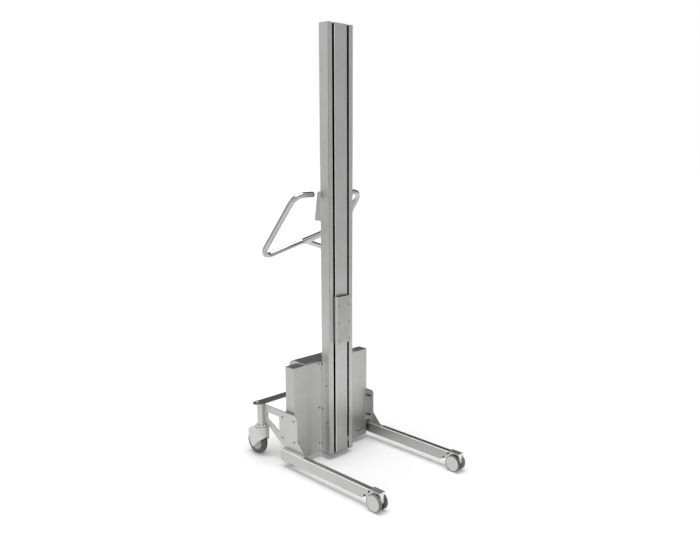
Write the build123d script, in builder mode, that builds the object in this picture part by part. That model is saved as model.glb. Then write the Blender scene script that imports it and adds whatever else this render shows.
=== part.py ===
from build123d import *
import math
import os

# Lifting trolley in stainless steel: a slotted mast with a belt-driven carriage on a wheeled base.
# Millimetres. +Z up, the legs point to -Y, +X is the right-hand side seen from the front.
# Depths in Y are given from the front face of the mast, positive towards the push handle.

# Mast profile
mast_top = 1909.4
mast_bottom = 24.7
mast_width = 149.3
mast_depth = 53.5
mast_wall = 3.0
mast_corner = 5.5
slot_edge_inner = 37.2
slot_edge_outer = 47.8
lip_thickness = 2.5
lip_return = 9.0
fold_radius = 1.6
strip_half_width = 36.5
strip_proud = 2.0
strip_sheet = 2.5
strip_return = 14.0
strip_fold = 3.0
cap_thickness = 3.0
foot_thickness = 5.0
buffer_low = 62.0
buffer_high = 85.0

# Carriage
carriage_low = 553.0
carriage_height = 214.0
carriage_sheet = 2.5
carriage_fold = 3.5
carriage_half_width = 39.8
carriage_front = 18.6
flange_depth = 44.0
hole_column = 30.9
hole_pitch = 78.5
hole_middle = 646.8
hole_radius = 3.3

# Slider and guide rollers inside the mast
slider_end_gap = 10.0
slider_front = 14.5
slider_back = 47.0
slider_plate = 4.0
roller_width = 16.0
roller_inner_face = 52.0
roller_play = 0.35
roller_edge = 1.0
roller_pin_radius = 6.0
roller_spacing = 134.0
pin_shoulder_radius = 9.0
pin_head_radius = 8.5
pin_head_thickness = 2.0

# Belt drive
belt_pitch_radius = 24.0
belt_thickness = 2.4
belt_width = 16.0
belt_front = 26.0
drive_height = 150.0
idler_drop = 39.4
pulley_teeth = 20
pulley_gap = 0.3
pulley_flange_radius = 27.0
pulley_flange = 1.5
tooth_depth = 1.6
shaft_radius = 7.0
idler_pin_radius = 5.0
idler_seat_half = 18.0
clamp_length = 40.0
clamp_jaw = 7.5
running_fit = 0.05
shaft_pass = 1.5

# Front cover box and rear housing
cover_half_width = 233.4
cover_front = 61.7
cover_depth = 54.5
cover_low = 27.0
cover_high = 462.6
cover_wall = 2.0
cover_corner = 5.0
panel_thickness = 3.0
seat_gap = 0.3
cover_opening_half = 71.0
vent_left = 158.0
vent_right = 200.0
vent_height = 58.5
vent_width = 3.0
housing_half_width = 157.0
housing_back = 181.5
housing_high = 466.6
housing_round = 30.0
housing_lap_front = 68.0

# Things inside the cover and housing
mount_half_width = 60.0
mount_wall = 4.0
mount_flange_half = 95.0
mount_spans = ((45.0, 90.0), (225.0, 456.5))
filler_width = 14.0
gearbox_half = 38.0
gearbox_depth = 51.0
gearbox_corner = 6.0
gearbox_front_gap = 0.2
motor_radius = 24.0
motor_length = 118.0
battery_width = 125.0
battery_height = 158.0
battery_gap = 3.0
battery_corner = 3.0
battery_count = 2
controller_half_width = 60.0
controller_low = 250.0
controller_height = 150.0
controller_depth = 30.0
controller_fins = 9
fin_thickness = 2.0
fin_depth = 8.0

# Legs and side plates
leg_inner = 242.6
leg_width = 27.15
leg_low = 31.4
leg_high = 83.3
leg_rear = 113.6
leg_wall = 2.5
leg_edge = 4.0
leg_nose_top = 17.2
leg_nose_low = (60.0, 39.5)
leg_nose_foot = 75.0
plate_thickness = 4.8
plate_high = 253.0
plate_front = 29.0
plate_corner = 10.0
plate_brow = 16.0
plate_step = 141.0
plate_toe = -26.0
plate_heel = 120.0
arm_flat = 24.0
arm_low = 150.5
window_corner = 3.5
rear_bar = 40.0
top_bar = 33.0
window_front = 150.0
window_rear_low = 190.0
window_low = 147.0
bolt_rows = (126.6, 225.0)
bolt_offset = 40.0
angle_leg = 24.4
angle_sheet = 3.0
angle_low = 100.0
angle_high = 250.0
spacer_high = 252.0
bolt_radius = 3.0
bolt_head_radius = 5.2
bolt_head_height = 3.2
nut_radius = 5.5
nut_height = 5.0
bolt_play = 0.1

# Front twin-wheel castors
front_axle_reach = 464.6
front_wheel_radius = 37.5
front_wheel_width = 17.5
front_wheel_gap = 16.5
front_face_radius = 33.6
front_face_bulge = 0.8
front_face_groove = 0.6
front_tread_edge = 2.0
front_wheel_blind = 2.6
front_axle_cover = 3.0
front_axle_radius = 4.0
front_centre = 256.2
castor_web = 15.3
castor_cap_width = 33.0
castor_cap_lead = 28.4
castor_cap_lap = 28.6
castor_cap_thickness = 2.7
castor_nose_sheet = 3.0
castor_nose_low = 66.0
web_chin = 40.0
web_tip = (-19.0, 31.0)
web_keel = (14.6, 26.0)
web_knee = (39.6, 40.0)
web_step = 16.6
web_tail = 74.6
castor_bolts = ((56.2, 49.0), (31.4, 74.5))

# Rear posts, cross plate and swivel castors
post_spread = 252.0
post_depth = 275.5
post_radius = 18.0
post_wall = 2.0
post_low = 158.0
cross_high = 258.0
cross_thickness = 4.0
cross_lead = 18.5
cross_width = 50.0
cross_overhang = 36.0
dome_shift = 4.0
dome_edge = 9.0
dome_radius = 7.0
dome_height = 4.5
castor_trail = 31.5
rear_wheel_radius = 62.5
rear_wheel_width = 32.0
rear_axle_radius = 5.0
rear_hub_radius = 13.0
rear_web_radii = (16.0, 38.0)
rear_web_half = 9.0
rear_rim = (14.0, 42.0)
rear_tread_base = (14.5, 46.0)
rear_tread_edge = 50.0
rear_axle_head = 3.5
hood_radius = 34.5
hood_tail_half = 20.5
hood_tail = 77.0
hood_high = 142.0
hood_wall = 2.5
hood_top_edge = 5.0
hood_roof = 14.0
hood_wheel_play = 2.0
hood_crown = 27.0
hood_shoulder = (62.0, 126.0)
hood_back = (72.5, 117.5)
hood_tip = (76.5, 106.0)
hood_belly = (67.5, 66.0)
hood_heel = (50.0, 40.5)
hood_lip = (33.0, 37.5)
hood_chin = (-60.0, 116.5)
hood_boss_proud = 6.5
hood_boss_floor = 2.5
swivel_gap = 0.35
collar_radius = 27.5
collar_rim = 3.0
collar_bevel = 2.5
collar_neck = 19.5
collar_plug = 36.0
collar_clear = 1.5
stem_radius = 10.0
stem_depth = 11.0
axle_boss_radius = 9.0
wheel_side_gap = 0.8

# Push handle and control box
handle_depth = 244.6
handle_height = 990.3
handle_tilt = 37.5
handle_radius = 12.5
handle_wall = 2.0
grip_end = (102.0, 281.0)
grip_corner = (195.7, 281.0)
grip_foot = (219.4, -88.7)
grip_corner_bend = 50.0
grip_foot_bend = 40.0
grip_centre_bend = 60.0
end_cap_length = 5.0
end_cap_plug = 15.0
stub_radius = 15.0
stub_wall = 2.0
stub_rise = 20.0
box_half_width = 45.0
box_rise = 104.7
box_tall = 131.0
box_lip = 10.0
box_back_low = 119.0
box_back_high = 103.0
box_slope_drop = 8.0
box_slope_front = 84.0
box_edge = 4.0
button_radius = 11.0
button_proud = 3.0
button_length = 11.0
stop_radius = 17.0
stop_stem_radius = 8.0
stop_proud = 16.0
stop_travel = 4.0
well_depth = 16.0
up_place = 26.0
down_place = 0.0
stop_place = -30.0
button_edge = 1.0
stop_edge = 5.0

# Small screws
screw_head_radius = 4.0
screw_head_height = 1.8
screw_radius = 2.0
mast_screw_places = ((20.0, 357.0), (17.6, 182.5), (46.5, 453.0), (46.5, 242.0), (46.5, 71.0))
cover_screw_spread = 82.0
cover_screw_heights = (70.0, 244.0, 454.0)

# Charging socket in the rear housing
socket_side = 110.0
socket_height = 90.0
socket_radius = 13.0
socket_flange = 17.0
socket_depth = 18.0
socket_lid = 3.0
socket_edge = 1.0

os.makedirs("parts", exist_ok=True)

# The origin lies on the floor under the middle of the outline, so the mast stands a little behind it.
front_reach = front_axle_reach + front_wheel_radius
rear_reach = post_depth + castor_trail + rear_wheel_radius
mast_front = (front_reach - rear_reach) / 2

# Places that follow from the sizes above
castor_cap_front = front_axle_reach + castor_cap_lead
castor_cap_rear = front_axle_reach - castor_cap_lap
castor_bolt_places = [(front_axle_reach - behind, height) for behind, height in castor_bolts]
cross_front = post_depth - cross_lead
cross_reach = post_spread + cross_overhang
dome_spread = post_spread + dome_shift
dome_depth = cross_front + cross_width - dome_edge
idler_height = mast_top - idler_drop
box_low = handle_height + box_rise
box_high = box_low + box_tall
box_slope_low = box_high - box_slope_drop

sides = (("left", -1), ("right", 1))
same_place = 0.01


def at(depth):
    """Y of a depth given from the front face of the mast."""
    return mast_front + depth


def seen_from_front(depth):
    """Upright plane facing the front, local x to the right and local y up."""
    return Plane.XZ.offset(-at(depth))


def seen_from_right(x):
    """Upright plane across X, local x towards the back and local y up."""
    return Plane.YZ.offset(x)


def level(z):
    return Plane.XY.offset(z)


def behind_axle(distance):
    """Y of a place given as a distance behind the front wheels' axle."""
    return at(distance - front_axle_reach)


def save(piece, name):
    piece.part.label = name
    export_step(piece.part, "parts/" + name + ".step")


def rod(x, depth, z, radius, length):
    """Round bar along X that starts at x and grows by length, for use inside a part."""
    with BuildSketch(Plane(origin=(x, at(depth), z), x_dir=(0, 1, 0), z_dir=(1, 0, 0))) as disc:
        Circle(radius)
    extrude(disc.sketch, amount=length)


def bore(x, depth, z, radius, length):
    """Round hole along X, for use inside a part."""
    with BuildSketch(Plane(origin=(x, at(depth), z), x_dir=(0, 1, 0), z_dir=(1, 0, 0))) as disc:
        Circle(radius)
    extrude(disc.sketch, amount=length, mode=Mode.SUBTRACT)


def bar_back(x, depth, z, radius, length):
    """Round bar along Y that starts at a depth and grows backwards, for use inside a part."""
    with BuildSketch(seen_from_front(depth)) as disc:
        with Locations((x, z)):
            Circle(radius)
    extrude(disc.sketch, amount=-length)


def bore_back(x, depth, z, radius, length):
    """Round hole along Y, for use inside a part."""
    with BuildSketch(seen_from_front(depth)) as disc:
        with Locations((x, z)):
            Circle(radius)
    extrude(disc.sketch, amount=-length, mode=Mode.SUBTRACT)


# Mast profile: a folded box whose front is open between the lips of the two slots
profile_top = mast_top - cap_thickness
profile_bottom = mast_bottom + foot_thickness
inner_back = mast_depth - mast_wall
with BuildPart() as mast_profile:
    with BuildSketch(level(profile_bottom)) as section:
        with Locations((0, at(mast_depth / 2))):
            RectangleRounded(mast_width, mast_depth, mast_corner)
            RectangleRounded(mast_width - 2 * mast_wall, mast_depth - 2 * mast_wall,
                             mast_corner - mast_wall, mode=Mode.SUBTRACT)
        with Locations((0, at(mast_wall / 2))):
            Rectangle(2 * slot_edge_outer, 2 * mast_wall, mode=Mode.SUBTRACT)
        lip_x = slot_edge_outer + lip_thickness / 2
        with Locations(*[(side * lip_x, at(lip_return / 2)) for _, side in sides]):
            Rectangle(lip_thickness, lip_return)
        front_corners = section.vertices().filter_by(lambda v: abs(v.Y - at(0)) < same_place)
        fillet(front_corners.filter_by(lambda v: abs(abs(v.X) - slot_edge_outer) < same_place), fold_radius)
    extrude(amount=profile_top - profile_bottom)
    bore_back(0, inner_back, drive_height, shaft_radius + shaft_pass, mast_wall)
    for _, side in sides:
        for depth, height in mast_screw_places:
            bore(side * mast_width / 2, depth, height, screw_radius + bolt_play, -side * mast_wall)
save(mast_profile, "mast_profile")

# Middle front strip: a shallow channel standing proud between the slots
strip_back = strip_return - strip_proud
with BuildPart() as mast_front_strip:
    with BuildSketch(level(profile_bottom)) as section:
        with Locations((0, at(strip_return / 2 - strip_proud))):
            Rectangle(2 * strip_half_width, strip_return)
        with Locations((0, at(strip_return / 2 - strip_proud + strip_sheet))):
            Rectangle(2 * (strip_half_width - strip_sheet), strip_return, mode=Mode.SUBTRACT)
        fillet(section.vertices().group_by(Axis.Y)[0], strip_fold)
        inner_face = at(strip_sheet - strip_proud)
        fillet(section.vertices().filter_by(lambda v: abs(v.Y - inner_face) < same_place),
               strip_fold - strip_sheet)
    extrude(amount=profile_top - profile_bottom)
save(mast_front_strip, "mast_front_strip")

# Top cap: closes the profile and carries the middle strip, notched so that the slots stay open
with BuildPart() as mast_top_cap:
    with BuildSketch(level(profile_top)) as section:
        with Locations((0, at(mast_depth / 2))):
            RectangleRounded(mast_width, mast_depth, mast_corner)
        with Locations((0, at(strip_back / 2 - strip_proud / 2))):
            Rectangle(2 * strip_half_width, strip_return)
        slot_middle = (slot_edge_inner + slot_edge_outer) / 2
        with Locations(*[(side * slot_middle, at(strip_back / 2 - strip_proud)) for _, side in sides]):
            Rectangle(slot_edge_outer - slot_edge_inner, strip_return, mode=Mode.SUBTRACT)
    extrude(amount=cap_thickness)
save(mast_top_cap, "mast_top_cap")

# Foot: floor plate under the profile with an upright that carries the grey buffer in the right slot
with BuildPart() as mast_foot:
    with BuildSketch(level(mast_bottom)):
        with Locations((0, at(mast_depth / 2))):
            RectangleRounded(mast_width, mast_depth, mast_corner)
        with Locations((0, at(0))):
            Rectangle(2 * strip_half_width, 2 * strip_proud)
    extrude(amount=foot_thickness)
    upright_width = slot_edge_outer - slot_edge_inner - 2
    with BuildSketch(level(profile_bottom)):
        with Locations((slot_middle, at(strip_back / 2 + 2))):
            Rectangle(upright_width, strip_back / 2)
    extrude(amount=buffer_high - profile_bottom)
    with BuildSketch(level(buffer_low)):
        with Locations((slot_middle, at(strip_back / 4))):
            Rectangle(upright_width, strip_back / 2)
    extrude(amount=buffer_high - buffer_low)
save(mast_foot, "mast_foot")

# Carriage plate: one sheet folded to a U, with the tool holes in front and flanges through the slots
carriage_middle = carriage_low + carriage_height / 2
flange_inner = carriage_half_width - carriage_sheet
roller_heights = (carriage_middle - roller_spacing / 2, carriage_middle + roller_spacing / 2)
roller_radius = (inner_back - mast_wall) / 2 - roller_play
roller_depth = (inner_back + mast_wall) / 2
with BuildPart() as carriage_plate:
    with BuildSketch(level(carriage_low)) as section:
        with Locations((0, at((flange_depth - carriage_front) / 2))):
            Rectangle(2 * carriage_half_width, flange_depth + carriage_front)
        with Locations((0, at((flange_depth - carriage_front) / 2 + carriage_sheet))):
            Rectangle(2 * flange_inner, flange_depth + carriage_front, mode=Mode.SUBTRACT)
        fillet(section.vertices().group_by(Axis.Y)[0], carriage_fold)
        inner_face = at(carriage_sheet - carriage_front)
        fillet(section.vertices().filter_by(lambda v: abs(v.Y - inner_face) < same_place),
               carriage_fold - carriage_sheet)
    extrude(amount=carriage_height)
    with BuildSketch(seen_from_front(-carriage_front)):
        with Locations((0, hole_middle)):
            with GridLocations(2 * hole_column, hole_pitch, 2, 3):
                Circle(hole_radius)
    extrude(amount=-carriage_sheet, mode=Mode.SUBTRACT)
    for height in roller_heights:
        bore(-carriage_half_width, roller_depth, height, roller_pin_radius + running_fit,
             2 * carriage_half_width)
save(carriage_plate, "carriage_plate")

# Slider frame: two cheeks and a front bridge between the flanges, with the belt clamp on the right run
slider_low = carriage_low + slider_end_gap
slider_height = carriage_height - 2 * slider_end_gap
cheek_inner = flange_inner - slider_plate
belt_outer = belt_pitch_radius + belt_thickness / 2
belt_inner = belt_pitch_radius - belt_thickness / 2
belt_middle = belt_front + belt_width / 2
with BuildPart() as slider_frame:
    with BuildSketch(level(slider_low)) as section:
        with Locations((0, at((slider_front + slider_back) / 2))):
            Rectangle(2 * flange_inner, slider_back - slider_front)
        with Locations((0, at((slider_front + slider_back) / 2 + slider_plate))):
            Rectangle(2 * cheek_inner, slider_back - slider_front, mode=Mode.SUBTRACT)
    extrude(amount=slider_height)
    with BuildSketch(level(slider_low + slider_height - clamp_length)):
        outer_jaw = cheek_inner - belt_outer - pulley_gap
        with Locations((cheek_inner - outer_jaw / 2, at(belt_middle))):
            Rectangle(outer_jaw, belt_width + 2)
        inner_jaw_depth = belt_front + belt_width - slider_front
        with Locations((belt_inner - pulley_gap - clamp_jaw / 2, at(slider_front + inner_jaw_depth / 2))):
            Rectangle(clamp_jaw, inner_jaw_depth)
    extrude(amount=clamp_length)
    for height in roller_heights:
        bore(-flange_inner, roller_depth, height, roller_pin_radius + running_fit, slider_plate)
        bore(cheek_inner, roller_depth, height, roller_pin_radius + running_fit, slider_plate)
save(slider_frame, "slider_frame")

# Guide rollers on shouldered pins, one above the other in each side chamber
roller_outer_face = roller_inner_face + roller_width
with BuildPart() as roller_pins:
    for _, side in sides:
        for height in roller_heights:
            rod(side * cheek_inner, roller_depth, height, roller_pin_radius,
                side * (roller_outer_face + seat_gap - cheek_inner))
            rod(side * carriage_half_width, roller_depth, height, pin_shoulder_radius,
                side * (roller_inner_face - seat_gap - carriage_half_width))
            rod(side * (roller_outer_face + seat_gap), roller_depth, height, pin_head_radius,
                side * pin_head_thickness)
save(roller_pins, "roller_pins")

for side_name, side in sides:
    for place, height in zip(("lower", "upper"), roller_heights):
        with BuildPart() as guide_roller:
            rod(side * roller_inner_face, roller_depth, height, roller_radius, side * roller_width)
            chamfer(guide_roller.edges().filter_by(GeomType.CIRCLE), roller_edge)
            bore(side * roller_inner_face, roller_depth, height, roller_pin_radius + running_fit,
                 side * roller_width)
        save(guide_roller, "guide_roller_" + place + "_" + side_name)

# Toothed belt loop, running up and down behind the middle strip
belt_run = idler_height - drive_height
with BuildPart() as toothed_belt:
    with BuildSketch(seen_from_front(belt_front)):
        with Locations((0, (idler_height + drive_height) / 2)):
            SlotCenterToCenter(belt_run, 2 * belt_outer, rotation=90)
            SlotCenterToCenter(belt_run, 2 * belt_inner, rotation=90, mode=Mode.SUBTRACT)
    extrude(amount=-belt_width)
save(toothed_belt, "toothed_belt")


def pulley_body(height):
    """Toothed wheel with a flange at each end, for use inside a part."""
    rim = belt_inner - pulley_gap
    tooth_space = math.pi * rim / pulley_teeth
    with BuildSketch(seen_from_front(belt_front - pulley_gap)) as wheel:
        with Locations((0, height)):
            Circle(rim)
            with PolarLocations(rim, pulley_teeth):
                Rectangle(2 * tooth_depth, tooth_space, mode=Mode.SUBTRACT)
    extrude(wheel.sketch, amount=-(belt_width + 2 * pulley_gap))
    for depth in (belt_front - pulley_gap - pulley_flange, belt_front + belt_width + pulley_gap):
        bar_back(0, depth, height, pulley_flange_radius, pulley_flange)


# Drive pulley on the gearmotor shaft
gearbox_front = mast_depth + gearbox_front_gap
shaft_end = gearbox_front + gearbox_depth / 2
pulley_front = belt_front - pulley_gap - pulley_flange
pulley_rear = belt_front + belt_width + pulley_gap + pulley_flange
with BuildPart() as drive_pulley:
    pulley_body(drive_height)
    bar_back(0, pulley_rear, drive_height, shaft_radius, shaft_end - pulley_rear)
save(drive_pulley, "drive_pulley")

# Idler pulley at the mast head, on a pin that stands on the idler bracket
bracket_front = pulley_rear + pulley_gap
with BuildPart() as idler_pulley:
    pulley_body(idler_height)
    bore_back(0, pulley_front, idler_height, idler_pin_radius + running_fit, pulley_rear - pulley_front)
save(idler_pulley, "idler_pulley")

with BuildPart() as idler_bracket:
    with BuildSketch(seen_from_front(bracket_front)):
        with Locations((0, idler_height)):
            Rectangle(2 * idler_seat_half, 2 * idler_seat_half)
    extrude(amount=-(inner_back - bracket_front))
    bar_back(0, pulley_front - pulley_flange, idler_height, idler_pin_radius,
             bracket_front - pulley_front + pulley_flange)
save(idler_bracket, "idler_bracket")

# Back panel of the cover, the plate that carries the mast and everything inside
cover_back = cover_front + cover_depth
panel_front = cover_back - panel_thickness
cover_height = cover_high - cover_low
with BuildPart() as back_panel:
    with BuildSketch(seen_from_front(panel_front)):
        with Locations((0, cover_low + cover_height / 2)):
            Rectangle(2 * (cover_half_width - cover_wall - seat_gap),
                      cover_height - 2 * (cover_wall + seat_gap))
    extrude(amount=-panel_thickness)
save(back_panel, "back_panel")

# Mast mounts: two box sections between the mast and the back panel, with flanges behind the cover front
flange_front = cover_front + cover_wall
with BuildPart() as mast_mounts:
    for low, high in mount_spans:
        with BuildSketch(level(low)):
            with Locations((0, at((mast_depth + panel_front) / 2))):
                Rectangle(2 * mount_half_width, panel_front - mast_depth)
                Rectangle(2 * (mount_half_width - mount_wall), panel_front - mast_depth - 2 * mount_wall,
                          mode=Mode.SUBTRACT)
            flange_span = mount_flange_half - mount_half_width
            flange_x = mount_half_width + flange_span / 2
            with Locations(*[(side * flange_x, at(flange_front + mount_wall / 2)) for _, side in sides]):
                Rectangle(flange_span, mount_wall)
        extrude(amount=high - low)
    for _, side in sides:
        for height in cover_screw_heights:
            bore_back(side * cover_screw_spread, flange_front, height, screw_radius + bolt_play, mount_wall)
save(mast_mounts, "mast_mounts")

# Fillers: narrow strips that close the gap between the mast back and the cover front on both sides
with BuildPart() as mast_side_fillers:
    with BuildSketch(level(cover_low)):
        filler_x = (mast_width - filler_width) / 2
        with Locations(*[(side * filler_x, at((mast_depth + cover_front) / 2)) for _, side in sides]):
            Rectangle(filler_width, cover_front - mast_depth)
    extrude(amount=cover_height)
save(mast_side_fillers, "mast_side_fillers")

# Front cover: a shallow tray open at the back, cut out behind the mast, with a narrow vent low on the right
with BuildPart() as front_cover:
    with BuildSketch(level(cover_low)):
        with Locations((0, at(cover_front + cover_depth / 2))):
            Rectangle(2 * cover_half_width, cover_depth)
    extrude(amount=cover_height)
    fillet(front_cover.edges().filter_by(Axis.Z).group_by(Axis.Y)[0], cover_corner)
    with BuildSketch(level(cover_low + cover_wall)):
        with Locations((0, at(cover_front + cover_wall + cover_depth / 2))):
            Rectangle(2 * (cover_half_width - cover_wall), cover_depth)
    extrude(amount=cover_height - 2 * cover_wall, mode=Mode.SUBTRACT)
    with BuildSketch(seen_from_front(cover_front)):
        with Locations((0, cover_low + cover_height / 2)):
            Rectangle(2 * cover_opening_half, cover_height - 2 * cover_corner)
        with Locations(((vent_left + vent_right) / 2, vent_height)):
            SlotOverall(vent_right - vent_left, vent_width)
    extrude(amount=-cover_wall, mode=Mode.SUBTRACT)
    for _, side in sides:
        for height in cover_screw_heights:
            bore_back(side * cover_screw_spread, cover_front, height, screw_radius + bolt_play, cover_wall)
        for height in bolt_rows:
            bore_back(side * (leg_inner - angle_leg / 2), cover_front, height, screw_radius + bolt_play,
                      cover_wall)
save(front_cover, "front_cover")


def housing_outline(shrink):
    """Side outline of the rear housing with the rounded top edge at the back, drawn inwards by shrink."""
    front = at(cover_back)
    back = at(housing_back) - shrink
    top = housing_high - shrink
    bottom = cover_low + shrink
    round_size = housing_round - shrink
    with BuildLine() as outline:
        Line((front, bottom), (back, bottom))
        Line((back, bottom), (back, top - round_size))
        RadiusArc((back, top - round_size), (back - round_size, top), -round_size)
        Line((back - round_size, top), (front, top))
        Line((front, top), (front, bottom))
    make_face(outline.edges())


# Rear housing: a folded cover with a rounded top edge at the back and a lap over the front cover
with BuildPart() as rear_housing:
    with BuildSketch(seen_from_right(-housing_half_width)):
        housing_outline(0)
    extrude(amount=2 * housing_half_width)
    lap = housing_high - cover_high
    with BuildSketch(level(cover_high)):
        with Locations((0, at((housing_lap_front + cover_back) / 2))):
            Rectangle(2 * housing_half_width, cover_back - housing_lap_front)
    extrude(amount=lap)
    with BuildSketch(seen_from_right(-housing_half_width + cover_wall)):
        housing_outline(cover_wall)
    extrude(amount=2 * (housing_half_width - cover_wall), mode=Mode.SUBTRACT)
    bore_back(socket_side, housing_back - cover_wall, socket_height, socket_radius + bolt_play, cover_wall)
save(rear_housing, "rear_housing")

# Gearmotor: gearbox against the mast back, motor lying to the right behind the cover front
motor_depth = (flange_front + panel_front) / 2
with BuildPart() as lift_gearmotor:
    with BuildSketch(seen_from_front(gearbox_front)):
        with Locations((0, drive_height)):
            RectangleRounded(2 * gearbox_half, 2 * gearbox_half, gearbox_corner)
    extrude(amount=-gearbox_depth)
    bore_back(0, gearbox_front, drive_height, shaft_radius + running_fit, gearbox_depth / 2 + seat_gap)
    rod(gearbox_half, motor_depth, drive_height, motor_radius, motor_length)
save(lift_gearmotor, "lift_gearmotor")

# Battery packs, stacked on the cover floor at the left
battery_depth = panel_front - flange_front - 2 * battery_gap
battery_x = -(cover_half_width - cover_wall - battery_gap - battery_width / 2)
with BuildPart() as battery_packs:
    for count in range(battery_count):
        with BuildSketch(level(cover_low + cover_wall + seat_gap + count * (battery_height + seat_gap))):
            with Locations((battery_x, at(motor_depth))):
                RectangleRounded(battery_width, battery_depth, battery_corner)
        extrude(amount=battery_height)
save(battery_packs, "battery_packs")

# Drive controller: a finned block on the rear of the back panel
with BuildPart() as drive_controller:
    with BuildSketch(seen_from_front(cover_back)):
        with Locations((0, controller_low + controller_height / 2)):
            Rectangle(2 * controller_half_width, controller_height)
    extrude(amount=-controller_depth)
    with BuildSketch(seen_from_front(cover_back + controller_depth)):
        with Locations((0, controller_low + controller_height / 2)):
            with GridLocations(2 * (controller_half_width - fin_thickness) / (controller_fins - 1), 1,
                               controller_fins, 1):
                Rectangle(fin_thickness, controller_height)
    extrude(amount=-fin_depth)
save(drive_controller, "drive_controller")

# Charging socket: round body through the housing wall with a flange and a closing lid
with BuildPart() as charging_socket:
    bar_back(socket_side, housing_back - socket_depth, socket_height, socket_radius, socket_depth)
    bar_back(socket_side, housing_back, socket_height, socket_flange, socket_lid)
    fillet(charging_socket.faces().sort_by(Axis.Y)[-1].edges(), socket_edge)
save(charging_socket, "charging_socket")

# Side plates: profile plates from the leg up to the rear post, with a window above the slanting arm
post_touch = post_depth - math.sqrt(post_radius ** 2 - (post_spread - leg_inner - plate_thickness) ** 2)
collar_notch = post_depth - collar_radius - collar_clear
arm_knee = collar_notch - arm_flat
cover_middle = cover_front + cover_depth / 2
bolt_depths = (cover_middle - bolt_offset, cover_middle + bolt_offset)
for side_name, side in sides:
    with BuildPart() as side_plate:
        with BuildSketch(seen_from_right(side * leg_inner)) as outline:
            with BuildLine():
                Polyline((at(post_touch), plate_high), (at(plate_front), plate_high),
                         (at(plate_front), plate_step), (at(plate_toe), leg_high), (at(plate_heel), leg_high),
                         (at(arm_knee), arm_low), (at(collar_notch), arm_low),
                         (at(collar_notch), post_low + collar_clear),
                         (at(post_touch), post_low + collar_clear), close=True)
            make_face()
            front_corners = outline.vertices().filter_by(lambda v: abs(v.X - at(plate_front)) < same_place)
            fillet(front_corners.sort_by(Axis.Y)[-1], plate_brow)
            bends = outline.vertices().filter_by(
                lambda v: abs(v.Y - plate_step) < same_place or abs(v.X - at(arm_knee)) < same_place)
            fillet(bends, plate_corner)
        extrude(amount=side * plate_thickness)
        with BuildSketch(seen_from_right(side * leg_inner)) as window:
            with BuildLine():
                window_rear = post_depth - rear_bar
                window_top = plate_high - top_bar
                Polyline((at(window_rear), window_top), (at(window_rear), window_rear_low),
                         (at(window_front), window_low), (at(window_front), window_top), close=True)
            make_face()
            fillet(window.vertices(), window_corner)
        extrude(amount=side * plate_thickness, mode=Mode.SUBTRACT)
        for depth in bolt_depths:
            for height in bolt_rows:
                bore(side * leg_inner, depth, height, bolt_radius + bolt_play, side * plate_thickness)
    save(side_plate, "side_plate_" + side_name)

# Corner angles: angle sections and a spacer bar on each side that join the side plates to the cover box
with BuildPart() as corner_angles:
    for _, side in sides:
        for face, outward in ((cover_front, -1), (cover_back, 1)):
            with BuildSketch(level(angle_low)):
                with Locations((side * (leg_inner - angle_leg / 2), at(face + outward * angle_sheet / 2))):
                    Rectangle(angle_leg, angle_sheet)
                with Locations((side * (leg_inner - angle_sheet / 2), at(face + outward * angle_leg / 2))):
                    Rectangle(angle_sheet, angle_leg)
            extrude(amount=angle_high - angle_low)
        with BuildSketch(level(angle_low)):
            with Locations((side * (leg_inner + cover_half_width) / 2, at(cover_middle))):
                Rectangle(leg_inner - cover_half_width, cover_depth)
        extrude(amount=spacer_high - angle_low)
    for _, side in sides:
        for depth in bolt_depths:
            for height in bolt_rows:
                bore(side * (leg_inner - angle_sheet), depth, height, bolt_radius + bolt_play,
                     side * angle_sheet)
        for face in (cover_front - angle_sheet, cover_back):
            for height in bolt_rows:
                bore_back(side * (leg_inner - angle_leg / 2), face, height, screw_radius + bolt_play,
                          angle_sheet)
save(corner_angles, "corner_angles")

# Legs: box tubes with rounded edges, closed at the back and cut slanting over the front wheels at the front
for side_name, side in sides:
    with BuildPart() as leg:
        with BuildSketch(seen_from_right(side * leg_inner)):
            with BuildLine():
                Polyline((at(leg_rear), leg_low), (at(leg_rear), leg_high),
                         (behind_axle(leg_nose_top), leg_high),
                         (behind_axle(leg_nose_low[0]), leg_nose_low[1]),
                         (behind_axle(leg_nose_foot), leg_low), close=True)
            make_face()
        extrude(amount=side * leg_width)
        fillet(leg.edges().filter_by(Axis.Y), leg_edge)
        with BuildSketch(seen_from_right(side * (leg_inner + leg_wall))):
            with BuildLine():
                back_wall = at(leg_rear - leg_wall)
                Polyline((back_wall, leg_low + leg_wall), (back_wall, leg_high - leg_wall),
                         (behind_axle(0), leg_high - leg_wall), (behind_axle(0), leg_low + leg_wall),
                         close=True)
            make_face()
        extrude(amount=side * (leg_width - 2 * leg_wall), mode=Mode.SUBTRACT)
        for reach, height in castor_bolt_places:
            bore(side * leg_inner, -reach, height, bolt_radius + bolt_play, side * leg_width)
    save(leg, "leg_" + side_name)

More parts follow.
